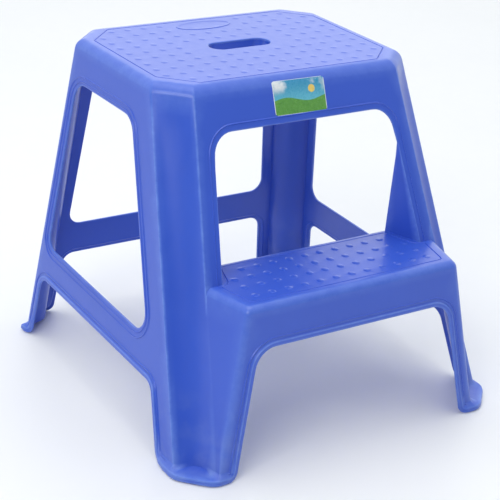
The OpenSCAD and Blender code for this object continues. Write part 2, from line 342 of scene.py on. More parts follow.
def inside(points, polygon):
    """Which of the points lie inside the polygon."""
    p = np.asarray(points, float)
    result = np.zeros(len(p), bool)
    q = np.asarray(polygon, float)
    for a, b in zip(q, np.roll(q, -1, 0)):
        crosses = (a[1] > p[:, 1]) != (b[1] > p[:, 1])
        if a[1] != b[1]:
            x = a[0] + (p[:, 1] - a[1]) * (b[0] - a[0]) / (b[1] - a[1])
            result ^= crosses & (p[:, 0] < x)
    return result


def clearance(points, starts, ends):
    """Distance from every point to the nearest of the straight pieces."""
    run = ends - starts
    result = []
    for p in points:
        t = np.clip(((p - starts) * run).sum(1) / (run * run).sum(1), 0, 1)
        result.append(np.linalg.norm(starts + run * t[:, None] - p, axis=1).min())
    return np.array(result)


def wanted_triangles(flat, tris, fixed_sides, outline, holes):
    """Which triangles lie in the outline and outside the holes. Triangles that meet across a side
    that isn't a line of the drawing go together, so that slivers go with their neighbours."""
    corners = flat[np.array([list(t) for t in tris])]
    u, v = corners[:, 1] - corners[:, 0], corners[:, 2] - corners[:, 0]
    areas = np.abs(u[:, 0] * v[:, 1] - u[:, 1] * v[:, 0]) / 2
    good = inside(corners.mean(1), outline)
    for hole in holes:
        good &= ~inside(corners.mean(1), hole)
    group = list(range(len(tris)))

    def root(i):
        while group[i] != i:
            i = group[i]
        return i

    first_at = {}
    for i, t in enumerate(tris):
        for k in range(3):
            side = frozenset((t[k - 1], t[k]))
            if side in fixed_sides:
                continue
            if side in first_at:
                group[root(i)] = root(first_at[side])
            first_at[side] = i
    votes = {}
    for i, area in enumerate(areas):
        votes[root(i)] = votes.get(root(i), 0.0) + (area if good[i] else -area)
    return [votes[root(i)] > 0.01 for i in range(len(tris))]


def without_slivers(flat, tris):
    """The triangles, with each flat sliver's long side turned so that both triangles have a body."""
    tris = [list(t) for t in tris]
    for _ in range(4):
        at_side = {}
        for i, t in enumerate(tris):
            for k in range(3):
                at_side.setdefault(frozenset((t[k - 1], t[k])), []).append(i)
        touched = set()
        for i, t in enumerate(tris):
            lengths = [np.linalg.norm(flat[t[k - 1]] - flat[t[k]]) for k in range(3)]
            k = int(np.argmax(lengths))
            a, b, m = t[k - 1], t[k], t[(k + 1) % 3]
            u, v = flat[b] - flat[a], flat[m] - flat[a]
            if abs(u[0] * v[1] - u[1] * v[0]) > 0.02 * lengths[k] or i in touched:
                continue
            others = [j for j in at_side[frozenset((a, b))] if j != i]
            if not others:
                tris[i] = None
            elif others[0] not in touched:
                far = next(v for v in tris[others[0]] if v not in (a, b))
                tris[i], tris[others[0]] = [a, m, far], [m, b, far]
            touched.update((i, *others))
        tris = [t for t in tris if t]
        if not touched:
            break
    return tris


def fill(place, normal, outline, holes=(), chains=()):
    """Fills a flat region with triangles. place turns a flat point into a place on the part.
    chains are (points, closed, rises): lines inside the region that stand out by their rises."""
    coords, edges, rises = [], [], []
    borders = [(points, True, None) for points in (outline, *holes)]
    for points, closed, heights in [*borders, *chains]:
        first = len(coords)
        coords += [vec(*p) for p in points]
        rises += [0.0] * len(points) if heights is None else list(heights)
        edges += [(k, k + 1) for k in range(first, len(coords) - 1)]
        if closed:
            edges.append((len(coords) - 1, first))
    fixed = np.array(coords)
    low, high = fixed.min(0), fixed.max(0)
    nx, ny = (max(1, int((high[k] - low[k]) / GRID)) for k in (0, 1))
    loose = np.array([low + (high - low) * ((i + 0.5 * (j % 2)) / nx, (j + 0.5) / ny)
                      for i in range(nx + 1) for j in range(ny)])
    keep = inside(loose, outline)
    for hole in holes:
        keep &= ~inside(loose, hole)
    starts, ends = (np.array([coords[e[k]] for e in edges]) for k in (0, 1))
    loose = loose[keep & (clearance(loose, starts, ends) > GRID * 0.4)]
    coords += list(loose)
    rises += [0.0] * len(loose)
    drawn = delaunay_2d_cdt([Vector(p) for p in coords], edges, [], 0, 1e-9, True)
    verts, sides, tris, source, kept = drawn[:5]
    flat = np.array([list(v) for v in verts])
    fixed_sides = {frozenset(side) for side, origin in zip(sides, kept) if origin}
    keep = wanted_triangles(flat, tris, fixed_sides, outline, holes)
    tris = without_slivers(flat, [t for t, wanted in zip(tris, keep) if wanted])
    rows = []
    for v, origins in enumerate(source):
        p, rise = (coords[origins[0]], rises[origins[0]]) if origins else (flat[v], 0.0)
        rows.append((place(*p), normal * rise))
    numbers = {}
    for t in tris:
        for v in t:
            if v not in numbers:
                numbers[v] = skin.point(*rows[v])
        skin.face([numbers[v] for v in t])


# -------- corners and the step's sides
def flute_depth(s, z):
    """Depth of the corner flute at the share s across it. It is deep and narrow above the foot, ends in
    a ledge there, and fades out under the deck's edge."""
    full = mix(FLUTE_LOW_DEPTH, FLUTE_HIGH_DEPTH, z / DECK_H)
    narrow = mix(1.7, 1.0, smooth(z / FLUTE_NARROW))
    profile = full * (4 * s * (1 - s)) ** narrow
    return profile * smooth((z - LEDGE_Z) / LEDGE_RISE) * smooth((WALL_TOP - z) / FADE)


def ridge_cut(z):
    """The front ridge is only a ridge above the step."""
    return RIDGE_CUT * smooth((z - STEP_WALL_TOP) / FADE)


def flute(a, b, z, cut_b):
    """A hollow corner from ridge a to ridge b, both softened, at height z."""
    chord = b - a
    inward = unit(vec(-chord[1], chord[0]))
    hollow = [a + chord * s + inward * flute_depth(s, z) for s in FLUTE_STOPS]
    return [a + RIDGE_CUT * inward, *hollow, b + cut_b * inward]


def at(z, points):
    return [vec(p[0], p[1], z) for p in points]


def front_corner(z, inset=0.0):
    """Front left corner, from the side wall to the front ridge."""
    x, y = side_x(z) - inset, front_y(z) + inset
    c = CORNER_CUT - (2 - math.sqrt(2)) * inset
    return at(z, [vec(-x, y + c + RIDGE_SOFT), *flute(vec(-x, y + c), vec(-x + c, y), z, ridge_cut(z))])


def back_corner(z, inset=0.0):
    """Back left corner, from the back wall to the side wall."""
    x, y = side_x(z) - inset, back_y(z) - inset
    c = CORNER_CUT - (2 - math.sqrt(2)) * inset
    return at(z, [vec(-x + c + RIDGE_SOFT, y), *flute(vec(-x + c, y), vec(-x, y - c), z, RIDGE_CUT),
                  vec(-x, y - c - RIDGE_SOFT)])


def step_side(z, inset=0.0):
    """Left side of the step, from the front wall round the corner to the step's front."""
    ridge, corner = vec(-ridge_x(z), front_y(z)), vec(-step_corner_x(z), step_y(z))
    along, across = unit(corner - ridge), vec(1, 0)
    inward = vec(-along[1], along[0])
    start = ridge + across * inset / inward[0]
    corner = start + along * (corner[1] + inset - start[1]) / along[1]
    width = np.linalg.norm(corner - start)
    reach = STEP_CORNER_R - 0.35 * inset
    bend_a, bend_b = corner - along * min(reach, 0.45 * width), corner + across * reach
    points = [start, start + along * min(RIDGE_SOFT, 0.15 * width)]
    points += between(points[-1], bend_a, 3)
    for k in range(EDGE_STEPS + 1):
        t = k / EDGE_STEPS
        points.append((1 - t) ** 2 * bend_a + 2 * t * (1 - t) * corner + t * t * bend_b)
    return at(z, points)


def foot_outset(z):
    """How far the rolled rim stands out of the wall at height z above the ground."""
    return FOOT_FLARE * float(np.interp(z, RIM_LOOPS, RIM_AT_FOOT))


def pushed_out(row, corners, radius):
    """The row moved out to the foot's rounded rim, which runs through two rounded corners. Above the
    rim the flute stays back, which leaves a flat ledge in front of it."""
    z = row[0][2]
    share = foot_outset(z) / FOOT_FLARE
    if share == 0:
        return row
    ends = vec(*corners[0]), vec(*corners[-1])
    rim = offset_path([vec(*c) for c in corners], [0, radius, radius, 0], 0, ends, (3, 3, 3))
    along, rim_along = (np.cumsum([0, *(np.linalg.norm(q[:2] - p[:2]) for p, q in zip(line, line[1:]))])
                        for line in (row, rim))
    held = smooth((z - LEDGE_Z) / LEDGE_RISE)
    moved = []
    for k, p in enumerate(row):
        t = along[k] / along[-1] * rim_along[-1]
        goal = vec(*(np.interp(t, rim_along, [q[i] for q in rim]) for i in (0, 1)))
        s = FLUTE_STOPS[k - 2] if 2 <= k < 2 + len(FLUTE_STOPS) else 0
        back = held * smooth((LEDGE_HALF - abs(s - 0.5)) / LEDGE_FADE)
        moved.append(vec(*mix(p[:2], goal, share * (1 - back)), z))
    return moved


def front_foot(z):
    """Corners of the front left foot's rim."""
    x, y = -side_x(z) - FOOT_FLARE, step_y(z) - FOOT_FLARE * FLARE_Y
    cut_x, cut_y = FRONT_FOOT_CUT
    return ((x, front_y(z) + CORNER_CUT + RIDGE_SOFT), (x, y + cut_y), (x + cut_x, y),
            (-step_corner_x(z) + STEP_CORNER_R, y))


def back_foot(z):
    """Corners of the back left foot's rim."""
    x, y = -side_x(z) - FOOT_FLARE, back_y(z) + FOOT_FLARE * FLARE_Y
    cut_x, cut_y = BACK_FOOT_CUT
    return ((-ridge_x(z) + RIDGE_SOFT, y), (x + cut_x, y), (x, y - cut_y),
            (x, back_y(z) - CORNER_CUT - RIDGE_SOFT))


def front_left_row(z):
    """Everything from the side wall to the front wall at height z."""
    if z <= STEP_WALL_TOP:
        return pushed_out(front_corner(z) + step_side(z)[1:], front_foot(z), FRONT_FOOT_R)
    row = front_corner(z)
    inset = dict(STEP_EDGE).get(z)
    if inset is not None:
        return row + [step_side(z, inset)[0]]
    return row + [vec(-ridge_x(z) + RIDGE_SOFT, front_y(z), z)]


skin.strips([front_left_row(z) for z in LOW_LEVELS])
upper = [front_left_row(z) for z in HIGH_LEVELS[1:]]
ridge_foot = front_corner(STEP_WALL_TOP)
skin.strips([ridge_foot + ridge_foot[-1:], *upper])
skin.strips([pushed_out(back_corner(z), back_foot(z), BACK_FOOT_R) for z in BODY_LEVELS])


# -------- flat walls
class Wall:
    """A flat leaning wall: h runs along it and z up it."""

    def __init__(self, place, out, lean):
        self.place = place
        self.out = vec(*out, 0)
        self.normal = unit(vec(*out, lean))

    def rings(self, loops, rises, closed, flare=lambda k, p: 0.0):
        """Adds the loops round an opening, each with its own relief. The flare moves them outwards."""
        rows = []
        for k, loop in enumerate(loops):
            relief = self.normal * rises[k]
            rows.append([skin.point(self.place(*p) + self.out * flare(k, p), relief) for p in loop])
        skin.strips(rows, closed)
        return loops[-1]

    def arch(self, low_edge, high_edge, edge_a, edge_b, tops, radius, foot_radii, bead_at=None):
        """The rolled rim of the two feet and of the arch between them."""
        top_a, top_b = tops
        corners = [vec(low_edge(0), 0), vec(edge_a(0), 0), vec(edge_a(top_a), top_a),
                   vec(edge_b(top_b), top_b), vec(edge_b(0), 0), vec(high_edge(0), 0)]
        radii = [0, foot_radii[0], radius, radius, foot_radii[1], 0]
        loops = [offset_path(corners, radii, d, (vec(low_edge(d), d), vec(high_edge(d), d)),
                             (1, 5, 10, 5, 1)) for d in RIM_LOOPS]

        reach_a, reach_b = (min(FLARE_REACH, abs(arch_edge(0) - ridge(0)) - 1)
                            for arch_edge, ridge in ((edge_a, low_edge), (edge_b, high_edge)))
        foot_flare = FOOT_FLARE * (FLARE_Y if self.out[1] else 1)

        def flare(k, p):
            h, z = p
            from_arch = max((edge_a(z) - h) / reach_a, (h - edge_b(z)) / reach_b)
            foot = smooth(from_arch) * (1 - smooth((z - RIM_LOOPS[-1]) / FLARE_FADE))
            return mix(ARCH_FLARE * RIM_AT_ARCH[k], foot_flare * RIM_AT_FOOT[k], foot)

        return self.rings(loops, [bead(d, bead_at) for d in RIM_LOOPS], False, flare)

    def window(self, edge_a, edge_b, low_a, radii):
        """The rim of a window, with thin beads round it. The lower corners' radii come first."""
        places = ((edge_a, low_a), (edge_b, RAIL_TOP), (edge_b, WINDOW_TOP), (edge_a, WINDOW_TOP))
        corners = [vec(edge(z), z) for edge, z in places]
        radii = (*radii, TOP_CORNER_R, TOP_CORNER_R)
        loops = [offset_path(corners, radii, -d, None, (0, 10, 10, 10, 10)) for d in WINDOW_LOOPS]
        rises = [max(bead(d, b) for b in WINDOW_BEADS) for d in WINDOW_LOOPS]
        return self.rings(loops, rises, True)

    def panel(self, rim, low_edge, high_edge, heights, count, holes=(), chains=()):
        """The wall between its rim, its two edges and its top."""
        up = [vec(high_edge(z), z) for z in heights if z > RIM_LOOPS[-1]]
        down = [vec(low_edge(z), z) for z in reversed(heights) if z > RIM_LOOPS[-1]]
        outline = [*rim, *up, *between(up[-1], down[0], count), *down]
        fill(self.place, self.normal, outline, holes, chains)


def low_side(z):
    return front_y(z) + CORNER_CUT + RIDGE_SOFT


def high_side(z):
    return back_y(z) - CORNER_CUT - RIDGE_SOFT


left_wall = Wall(lambda h, z: vec(-side_x(z), h, z), (-1, 0), SIDE_LEAN)
rim = left_wall.arch(low_side, high_side, arch_front_h, window_back_h,
                     (RAIL_BOTTOM - RAIL_FALL, RAIL_BOTTOM), ARCH_R,
                     (FRONT_FOOT_END_R, FOOT_END_R), ARCH_BEAD)
hole = left_wall.window(window_front_h, window_back_h, RAIL_TOP - RAIL_FALL, (FRONT_CORNER_R, BACK_CORNER_R))
left_wall.panel(rim, low_side, high_side, BODY_LEVELS, SIDE_SPLIT, [hole])

front_wall = Wall(lambda h, z: vec(h, front_y(z), z), (0, -1), FRONT_LEAN)
stretch = math.hypot(1, FRONT_WINDOW_LEAN)
front_corners = [vec(front_window_x(TREAD_H), TREAD_H), vec(front_window_x(WINDOW_TOP), WINDOW_TOP)]
front_corners += [p * (-1, 1) for p in reversed(front_corners)]
front_loops = []
for d in FRONT_WINDOW_LOOPS:
    end = vec(front_window_x(TREAD_H) + d * stretch, TREAD_H)
    front_loops.append(offset_path(front_corners, (0, FRONT_WINDOW_R, FRONT_WINDOW_R, 0), -d,
                                   (end, end * (-1, 1)), (WINDOW_SIDE_SPLIT, 12, WINDOW_SIDE_SPLIT)))

# Cheeks between the front wall and the tread's back corners
window_side = front_loops[0][-WINDOW_SIDE_SPLIT - 2:]
cheek_front = [vec(p[0], front_y(p[1]), p[1]) for p in reversed(window_side)][:-1]
apex = cheek_front[-1]
TREAD_BACK_Y = apex[1]
cheek_rows = []
for p in cheek_front:
    rear = vec(mix(-TREAD_BACK_HALF, apex[0], (p[2] - TREAD_H) / (apex[2] - TREAD_H)), TREAD_BACK_Y, p[2])
    cheek_rows.append([p, *between(p, rear, 3), rear])
skin.strips(cheek_rows)

skin.mirror()

# Front wall above the tread
front_wall.rings(front_loops, [bead(d, FRONT_BEAD) for d in FRONT_WINDOW_LOOPS], False)
left_edge = [vec(row[-1][0], row[-1][2]) for row in upper if row[-1][2] >= TREAD_H]
top_left = left_edge[-1]
outline = [*left_edge[:1], *reversed(front_loops[-1]), left_edge[0] * (-1, 1)]
outline += [p * (-1, 1) for p in left_edge[1:]]
outline += between(top_left * (-1, 1), top_left, FRONT_SPLIT)
outline += list(reversed(left_edge[1:]))
fill(front_wall.place, front_wall.normal, outline)


def both_sides(edge):
    """An edge on the right of the middle, as the pair of left edge and right edge."""
    return (lambda z: -edge(z)), edge


def back_edge(z):
    return ridge_x(z) - RIDGE_SOFT


back_wall = Wall(lambda h, z: vec(h, back_y(z), z), (0, 1), BACK_LEAN)
rim = back_wall.arch(*both_sides(back_edge), *both_sides(back_arch_x),
                       (RAIL_BOTTOM, RAIL_BOTTOM), ARCH_R, (FOOT_END_R, FOOT_END_R))
hole = back_wall.window(*both_sides(back_window_x), RAIL_TOP, (BACK_CORNER_R, BACK_CORNER_R))
back_wall.panel(rim, *both_sides(back_edge), BODY_LEVELS, FRONT_SPLIT, [hole])


def step_front_edge(z):
    return step_corner_x(z) - STEP_CORNER_R


def step_front_chains():
    """The faint sink marks of the ribs behind the step's front."""
    chains = []
    for i in range(-STEP_RIBS_A_SIDE, STEP_RIBS_A_SIDE + 1):
        for shift, rise in ((-1.4, 0), (0, -0.12), (1.4, 0)):
            line = [vec(STEP_RIB_PITCH * i + shift, z) for z in (166, 174, 184)]
            chains.append((line, False, [rise] * 3))
    return chains


step_front = Wall(lambda h, z: vec(h, step_y(z), z), (0, -1), STEP_FRONT_LEAN)
rim = step_front.arch(*both_sides(step_front_edge), *both_sides(step_arch_x),
                      (STEP_ARCH_TOP, STEP_ARCH_TOP), FRONT_WINDOW_R, (FOOT_END_R, FOOT_END_R), ARCH_BEAD)
step_front.panel(rim, *both_sides(step_front_edge), LOW_LEVELS, FRONT_SPLIT, chains=step_front_chains())


# -------- tread, deck and their studs
DECK_STUD_PITCH = (22.0, 21.75)
DECK_STUD_COLUMNS, DECK_STUD_ROWS = 14, 10
SLOT_CLEAR = (60, 20)
PLAQUE_CLEAR = (45, 70)
CORNER_CLEAR = 223
PLAQUE_Y = 143.0
LINE_Y = DECK_Y - 2
LINE_HALF_X, LINE_HALF_Y, LINE_CUT = 156.5, 111, 36
TREAD_STUD_PITCH = 21.5
TREAD_STUD_COLUMNS = 12
TREAD_STUD_ROWS = (-122, -143, -164, -186)
TREAD_LINE = ((-131, -199), (131, -199), (142, -152), (129, -148), (116, -108))
TREAD_LINE_RADII = (6, 6, 3, 8, 4, 4, 8, 3)


def step_ring(z, inset):
    """The outline of the step at height z, from its left side round to its right side."""
    side = step_side(z, inset)
    return [*side, *between(side[-1], side[-1] * (-1, 1, 1), FRONT_SPLIT), *mirrored(side)]


def body_ring(z, inset):
    """The whole outline at height z, from the front left corner round by the front."""
    front, back = front_corner(z, inset), back_corner(z, inset)
    ridge = -side_x(z) + CORNER_CUT + (math.sqrt(2) - 1) * inset
    front.append(vec(ridge + RIDGE_SOFT, front_y(z) + inset, z))
    right_front, right_back = mirrored(front), mirrored(back)
    return [*front, *between(front[-1], right_front[0], FRONT_SPLIT), *right_front,
            *between(right_front[-1], right_back[0], SIDE_SPLIT), *right_back,
            *between(right_back[-1], back[0], FRONT_SPLIT), *back,
            *between(back[-1], front[0], SIDE_SPLIT)]


def stud(x, y, height):
    """A low round stud, as rings of points that rise to its middle."""
    chains = []
    for share, rise in ((1.0, 0.0), (0.86, 0.4), (0.6, 0.78), (0.3, 0.95)):
        ring = [vec(x + STUD_R * share * math.cos(a), y + STUD_R * share * math.sin(a))
                for a in (2 * math.pi * k / 12 for k in range(12))]
        chains.append(level_chain(ring, height * rise))
    chains.append(([vec(x, y)], False, [height]))
    return chains


def level_chain(ring, rise):
    """A closed line whose points all stand out by the same rise."""
    return ring, True, [rise] * len(ring)


def groove(corners, radii):
    """A fine line pressed into a flat surface."""
    splits = [2] * (len(corners) + 1)
    return [level_chain(offset_path(corners, radii, d, None, splits, 4), rise)
            for d, rise in ((-0.9, 0.0), (0, -0.9), (0.9, 0.0))]


def deck_studs():
    chains = []
    for i in range(-DECK_STUD_COLUMNS // 2, DECK_STUD_COLUMNS // 2):
        for j in range(-DECK_STUD_ROWS // 2, DECK_STUD_ROWS // 2):
            x, y = (i + 0.5) * DECK_STUD_PITCH[0], (j + 0.5) * DECK_STUD_PITCH[1]
            at_slot = abs(x) < SLOT_CLEAR[0] and abs(y) < SLOT_CLEAR[1]
            at_plaque = abs(x) < PLAQUE_CLEAR[0] and y > PLAQUE_CLEAR[1]
            at_corner = abs(x) + abs(y) > CORNER_CLEAR
            if not (at_slot or at_plaque or at_corner):
                chains += stud(x, y + DECK_Y, DECK_STUD_H)
    return chains


def plaque():
    """A plain raised oval on the deck."""
    chains = []
    for a, b, rise in ((38, 16.5, 0.0), (37.2, 15.7, 0.55), (35.4, 13.9, 0.55), (34.6, 13.1, 0.15)):
        ring = [vec(a * math.cos(t), PLAQUE_Y + b * math.sin(t))
                for t in (2 * math.pi * k / 40 for k in range(40))]
        chains.append(level_chain(ring, rise))
    return chains


def deck_line():
    """The fine line round the deck: a rectangle with cut corners."""
    x, y, cut = LINE_HALF_X, LINE_HALF_Y, LINE_CUT
    half = [vec(x, cut - y), vec(x, y - cut), vec(x - cut, y), vec(cut - x, y)]
    return groove([p + vec(0, LINE_Y) for p in (*half, *(-p for p in half))], [6] * 8)


def slot_loop(d):
    """The hand slot's outline, d outside its edge."""
    corners = [vec(x * SLOT_LEN / 2, DECK_Y + y * SLOT_W / 2)
               for x, y in ((-1, -1), (1, -1), (1, 1), (-1, 1))]
    return offset_path(corners, [SLOT_W / 2 - 0.01] * 4, -d, None, (0, 4, 0, 4, 0))


skin.strips([step_ring(z, inset) for z, inset in STEP_EDGE])
skin.strips([body_ring(z, inset) for z, inset in DECK_EDGE], closed=True)

slot_loops = [slot_loop(d) for d in (1.1, 2.2, 4.0)]
deck_plane = Wall(lambda x, y: vec(x, y, DECK_TOP), (0, 0), 1)
deck_plane.rings(slot_loops, [0.0] * 3, True)
deck_outline = [p[:2] for p in body_ring(*DECK_EDGE[-1])]
deck_chains = [*deck_studs(), *deck_line(), *plaque()]
fill(deck_plane.place, deck_plane.normal, deck_outline, [slot_loops[-1]], deck_chains)


def tread_chains():
    """The tread's studs, two fewer in the back row, and the fine line round them."""
    chains = []
    for y in TREAD_STUD_ROWS:
        count = TREAD_STUD_COLUMNS - (2 if y == TREAD_STUD_ROWS[0] else 0)
        for i in range(-count // 2, count // 2):
            chains += stud((i + 0.5) * TREAD_STUD_PITCH, y, STUD_H)
    line = [vec(*p) for p in TREAD_LINE]
    return chains + groove(line + mirrored(line[2:]), TREAD_LINE_RADII)


tread_plane = Wall(lambda x, y: vec(x, y, TREAD_H), (0, 0), 1)
edge_row = [p[:2] for p in step_ring(*STEP_EDGE[-1])]
window_feet = [vec(loop[-1][0], front_y(TREAD_H)) for loop in front_loops]
cheek_foot = [p[:2] for p in cheek_rows[0]]
left_back = [*reversed(cheek_foot[1:]), *window_feet]
right_back = [p * (-1, 1) for p in reversed(left_back)]
back_line = between(right_back[-1], left_back[0], 16)
tread_outline = [*edge_row, *right_back, *back_line, *left_back]
fill(tread_plane.place, tread_plane.normal, tread_outline, (), tread_chains())


# -------- from the skin to a moulding with a wall
MIDDLE_LOOPS = ((0.16, 0.72), (0.5, 1.0), (0.84, 0.72))
CREASE = math.radians(34)


def oriented_faces(points, faces):
    """The skin's faces, all turned outwards."""
    mesh = bpy.data.meshes.new("skin")
    mesh.from_pydata([p * MM for p in points], [], faces)
    bm = bmesh.new()
    bm.from_mesh(mesh)
    bmesh.ops.recalc_face_normals(bm, faces=bm.faces)
    top = max(bm.faces, key=lambda f: f.calc_center_median().z)
    if top.normal.z < 0:
        bmesh.ops.reverse_faces(bm, faces=bm.faces)
    bm.normal_update()
    turned = [[v.index for v in f.verts] for f in bm.faces]
    normals = np.array([list(f.normal) for f in bm.faces])
    bm.free()
    bpy.data.meshes.remove(mesh)
    return turned, normals


def inward_steps(points, faces, normals):
    """For every point, the step that puts all the faces round it one wall thickness further in."""
    total = np.zeros((len(points), 3, 3))
    mean = np.zeros((len(points), 3))
    for ids, n in zip(faces, normals):
        for k, i in enumerate(ids):
            a, b = points[ids[k - 1]] - points[i], points[ids[(k + 1) % len(ids)]] - points[i]
            angle = math.acos(float(np.clip(unit(a) @ unit(b), -1, 1)))
            total[i] += angle * np.outer(n, n)
            mean[i] += angle * n
    steps = np.zeros((len(points), 3))
    for i, (m, n) in enumerate(zip(total, mean)):
        if n @ n > 0:
            soft = 0.03 * np.trace(m)
            steps[i] = np.linalg.solve(m + soft * np.eye(3), -WALL * (n + soft * unit(n)))
    return steps


def mesh_object(name, points, faces, material, painted_highlight=None):
    """A mesh piece from points in millimetres, with creases kept sharp."""
    mesh = bpy.data.meshes.new(name)
    mesh.from_pydata([p * MM for p in points], [], faces)
    mesh.update()
    bm = bmesh.new()
    bm.from_mesh(mesh)
    bmesh.ops.recalc_face_normals(bm, faces=bm.faces)
    for edge in bm.edges:
        edge.smooth = len(edge.link_faces) == 2 and edge.calc_face_angle(0) < CREASE
    for face in bm.faces:
        face.smooth = True
    bm.to_mesh(mesh)
    bm.free()
    # The share of painted highlight at each point, which the material uses to lighten the colour.
    if painted_highlight is not None:
        layer = mesh.attributes.new("painted_highlight", "FLOAT", "POINT")
        layer.data.foreach_set("value", np.asarray(painted_highlight, np.float32))
    mesh.materials.append(material)
    piece = bpy.data.objects.new(name, mesh)
    bpy.context.collection.objects.link(piece)
    weighted = piece.modifiers.new("even shading", "WEIGHTED_NORMAL")
    weighted.keep_sharp = True
    weighted.weight = 80
    return piece


def convexity(points, faces, normals):
    """How strongly the skin bends outwards at each point, from 0 to 1. It sets how much painted highlight
    lightens the colour there.
    """
    sides = {}
    for f, ids in enumerate(faces):
        for k, i in enumerate(ids):
            sides.setdefault(frozenset((i, ids[(k + 1) % len(ids)])), []).append(f)
    centres = [points[ids].mean(0) for ids in faces]
    bend = np.zeros(len(points))
    for pair, found in sides.items():
        if len(found) == 2:
            f, g = found
            outward = float((centres[g] - centres[f]) @ normals[f]) < 0
            angle = math.acos(float(np.clip(normals[f] @ normals[g], -1, 1)))
            if outward:
                for i in pair:
                    bend[i] = max(bend[i], angle)
    return np.clip(bend / math.radians(32), 0, 1)


def moulded_body(material):
    """The skin with an inner side one wall thickness in, and rounded free edges between the two."""
    points, relief = np.array(skin.base), np.array(skin.relief)
    faces, normals = oriented_faces(points, skin.faces)
    steps = inward_steps(points, faces, normals)
    # Painted highlight: convex edges and ridges get a lighter colour, more where they bend more strongly.
    painted_highlight = convexity(points, faces, normals)
    directed = {}
    for f, ids in enumerate(faces):
        for k, i in enumerate(ids):
            directed[(i, ids[(k + 1) % len(ids)])] = f
    free = [(a, b, f) for (a, b), f in directed.items() if (b, a) not in directed]
    outward = {}
    for a, b, f in free:
        side = np.cross(unit(points[b] - points[a]), normals[f])
        for i in (a, b):
            outward[i] = outward.get(i, 0) + side
    count = len(points)
    loops = {i: [i] for i in outward}
    extra, extra_painted_highlight = [], []
    for i, side in outward.items():
        # The rounded free edges get painted highlight too, stronger on their middle loops.
        painted_highlight[i] = 0.35
        for share, bulge in MIDDLE_LOOPS:
            loops[i].append(2 * count + len(extra))
            extra.append(points[i] + steps[i] * share + unit(side) * EDGE_ROUND * bulge)
            extra_painted_highlight.append(0.7)
        loops[i].append(count + i)
    all_faces = list(faces) + [[count + i for i in reversed(ids)] for ids in faces]
    for a, b, _ in free:
        for k in range(len(loops[a]) - 1):
            all_faces.append([loops[b][k], loops[a][k], loops[a][k + 1], loops[b][k + 1]])
    all_points = [*(points + relief), *(points + steps), *extra]
    all_points = [vec(p[0], p[1], max(p[2], 0)) for p in all_points]
    all_painted_highlight = [*painted_highlight, *np.zeros(count), *extra_painted_highlight]
    return mesh_object("moulded_body", all_points, all_faces, material, all_painted_highlight)


# -------- ribs and the hand slot's collar
RIB_T = 2.0
SINK = 0.6
RIB_TOP = DECK_TOP - WALL + SINK
STEP_RIB_TOP = TREAD_H - WALL + SINK
OVERLAP = 1.4


class Parts:
    """Points and faces of several small solids that make one piece."""

    def __init__(self):
        self.points, self.faces = [], []

    def tube(self, sections, closed):
        """A solid swept through sections of equal size."""
        first = len(self.points)
        n = len(sections[0])
        for section in sections:
            self.points += [np.array(p, float) for p in section]
        count = len(sections)
        for s in range(count if closed else count - 1):
            for k in range(n):
                a, b = first + s * n + k, first + s * n + (k + 1) % n
                c, d = first + (s + 1) % count * n + (k + 1) % n, first + (s + 1) % count * n + k
                self.faces.append([a, b, c, d])
        if not closed:
            self.faces.append([first + k for k in reversed(range(n))])
            self.faces.append([first + (count - 1) * n + k for k in range(n)])

    def rib(self, start, end, thickness, bottom, top, tuck):
        """A thin upright rib with a little draft, a rounded lower edge and upper corners tucked inwards."""
        start, end = vec(*start), vec(*end)
        along = unit(end - start)
        across = vec(-along[1], along[0])
        half, tip = thickness / 2, thickness / 2 - 0.25
        profile = [(-half, top), (-tip, bottom + 0.8), (-tip + 0.35, bottom + 0.18), (-tip + 0.7, bottom),
                   (tip - 0.7, bottom), (tip - 0.35, bottom + 0.18), (tip, bottom + 0.8), (half, top)]
        self.tube([[(*(p + across * w + (way * tuck if z == top else 0)), z) for w, z in profile]
                   for p, way in ((start, along), (end, -along))], False)


def underside_ribs(material):
    """Ribs below the deck and the tread, the hand slot's collar and the flange at the tread's back."""
    parts = Parts()
    low_y, high_y = front_y(RIB_TOP) + WALL - OVERLAP, back_y(RIB_TOP) - WALL + OVERLAP
    for side in (-1, 1):
        for i in range(RIBS_A_SIDE):
            x = side * (SLOT_LEN / 2 + WALL + SLOT_RIB_GAP_X + RIB_PITCH * i)
            parts.rib((x, low_y), (x, high_y), RIB_T, RIB_BOTTOM, RIB_TOP, DECK_EDGE_R / 2)
            y = DECK_Y + side * (SLOT_W / 2 + WALL + SLOT_RIB_GAP_Y + RIB_PITCH * i)
            room = min(y - front_y(RIB_TOP), back_y(RIB_TOP) - y)
            cut = max(CORNER_CUT - room, 0)
            reach = side_x(RIB_TOP) - WALL + OVERLAP - (cut + 4.5 if cut > 0 else 0)
            parts.rib((-reach, y), (reach, y), RIB_T, RIB_BOTTOM, RIB_TOP, DECK_EDGE_R / 2)
    collar = []
    for p, q in zip(slot_loop(0), slot_loop(WALL)):
        collar.append([(*p, RIB_TOP), (*p, RIB_BOTTOM + 0.8), (*mix(p, q, 0.25), RIB_BOTTOM),
                       (*mix(p, q, 0.75), RIB_BOTTOM), (*q, RIB_BOTTOM + 0.8), (*q, RIB_TOP)])
    parts.tube(collar, True)
    start, end = step_y(STEP_RIB_TOP) + WALL - OVERLAP, TREAD_BACK_Y - WALL / 2
    for i in range(-STEP_RIBS_A_SIDE, STEP_RIBS_A_SIDE + 1):
        x = STEP_RIB_PITCH * i
        parts.rib((x, start), (x, end), RIB_T, STEP_RIB_BOTTOM, STEP_RIB_TOP, STEP_EDGE_R / 2)
    flange, reach = end + SINK, TREAD_BACK_HALF - 1
    parts.rib((-reach, flange), (reach, flange), WALL, STEP_RIB_BOTTOM, STEP_RIB_TOP, 0)
    return mesh_object("underside_ribs", parts.points, parts.faces, material)


# -------- printed label
LABEL_L = 39.0
LABEL_UP = 6.5
LABEL_R = 3.0
LABEL_T = 0.35
LABEL_TILT = math.radians(-0.8)


